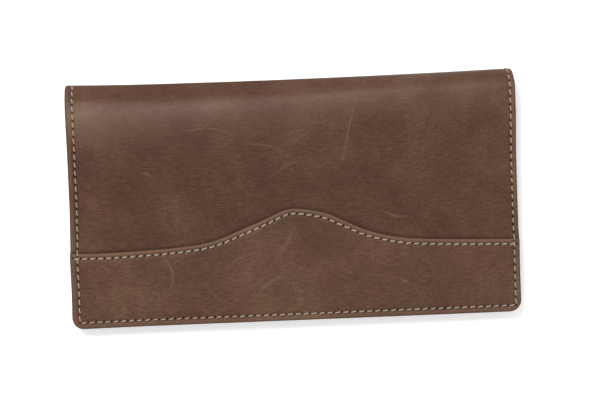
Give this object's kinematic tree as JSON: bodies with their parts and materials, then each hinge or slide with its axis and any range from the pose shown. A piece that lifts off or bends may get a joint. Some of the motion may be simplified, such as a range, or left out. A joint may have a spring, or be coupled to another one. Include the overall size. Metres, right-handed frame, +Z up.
{
  "type": "long wallet",
  "caption": "Long folding leather wallet with a wavy stitched yoke, note pockets, card tiers and an identity window, which opens flat.",
  "frame": {"origin": "under the middle of the closed wallet, on the surface it lies on", "axes": "+X along the spine to the right as the front faces up, +Y toward the folded spine, +Z up out of the front cover"},
  "size_m": [0.18, 0.0972, 0.0159],
  "materials": {
    "cover_leather": "distressed semi-matte pull-up leather, mottled dark brown",
    "pocket_leather": "smooth semi-matte brown leather with a creased mouth line",
    "lining_cloth": "fine woven lining, dark brown",
    "stiffener_board": "pressed fibre board, matte",
    "thread": "waxed beige thread",
    "window_film": "clear flexible film"
  },
  "bodies": {
    "back_cover": {"cover_back": "cover_leather", "board_back": "stiffener_board", "lining_back": "lining_cloth", "note_divider": "lining_cloth", "note_pocket": "pocket_leather", "slip_pocket": "pocket_leather", "thread_back": "thread", "thread_note_mouth": "thread", "thread_slip_mouth": "thread"},
    "spine": {"cover_spine": "cover_leather", "lining_spine": "lining_cloth", "thread_spine": "thread"},
    "front_cover": {"board_front": "stiffener_board", "card_backing": "pocket_leather", "card_left_1": "pocket_leather", "card_left_2": "pocket_leather", "card_left_3": "pocket_leather", "card_left_4": "pocket_leather", "card_right_1": "pocket_leather", "card_right_2": "pocket_leather", "card_right_3": "pocket_leather", "cover_front": "cover_leather", "id_window_film": "window_film", "id_window_panel": "pocket_leather", "lining_front": "lining_cloth", "thread_card_centre": "thread", "thread_front": "thread", "thread_yoke": "thread", "yoke": "cover_leather"}
  },
  "joints": [
    {"name": "lower_bend", "type": "hinge", "parent": "back_cover", "child": "spine", "pos_m": [0, 0.04713, 0.00158], "axis": [-1, 0, 0], "range_deg": [0, 92.15]},
    {"name": "upper_bend", "type": "hinge", "parent": "spine", "child": "front_cover", "pos_m": [0, 0.04664, 0.01453], "axis": [-1, 0, 0], "range_deg": [0, 92.15]}
  ],
  "couplings": [
    {"joint": "lower_bend", "follows": "upper_bend", "ratio": 1}
  ]
}
